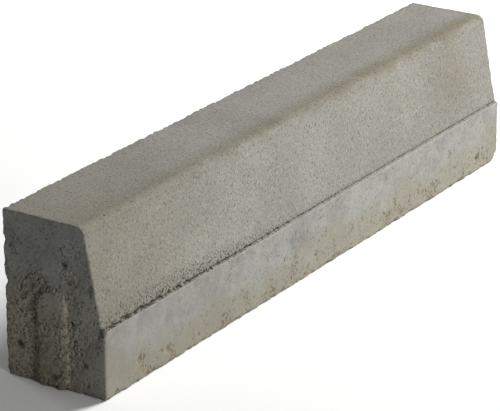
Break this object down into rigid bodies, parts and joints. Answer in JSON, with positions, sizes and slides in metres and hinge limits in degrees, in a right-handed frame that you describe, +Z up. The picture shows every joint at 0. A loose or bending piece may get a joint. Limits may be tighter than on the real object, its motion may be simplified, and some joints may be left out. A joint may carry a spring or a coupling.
{
  "type": "concrete kerb stone",
  "caption": "Straight precast concrete kerb with a battered face above an upright band, a rounded arris, and a tongue and groove at its ends.",
  "frame": {"origin": "under the middle of the bounding box, on the plane of the bed", "axes": "+X along the stone, from the tongue end to the groove end; -Y towards the road; +Z up"},
  "size_m": [1.006, 0.15, 0.22],
  "materials": {
    "concrete": "matte"
  },
  "bodies": {
    "root": {"kerb_stone": "concrete"}
  },
  "joints": []
}
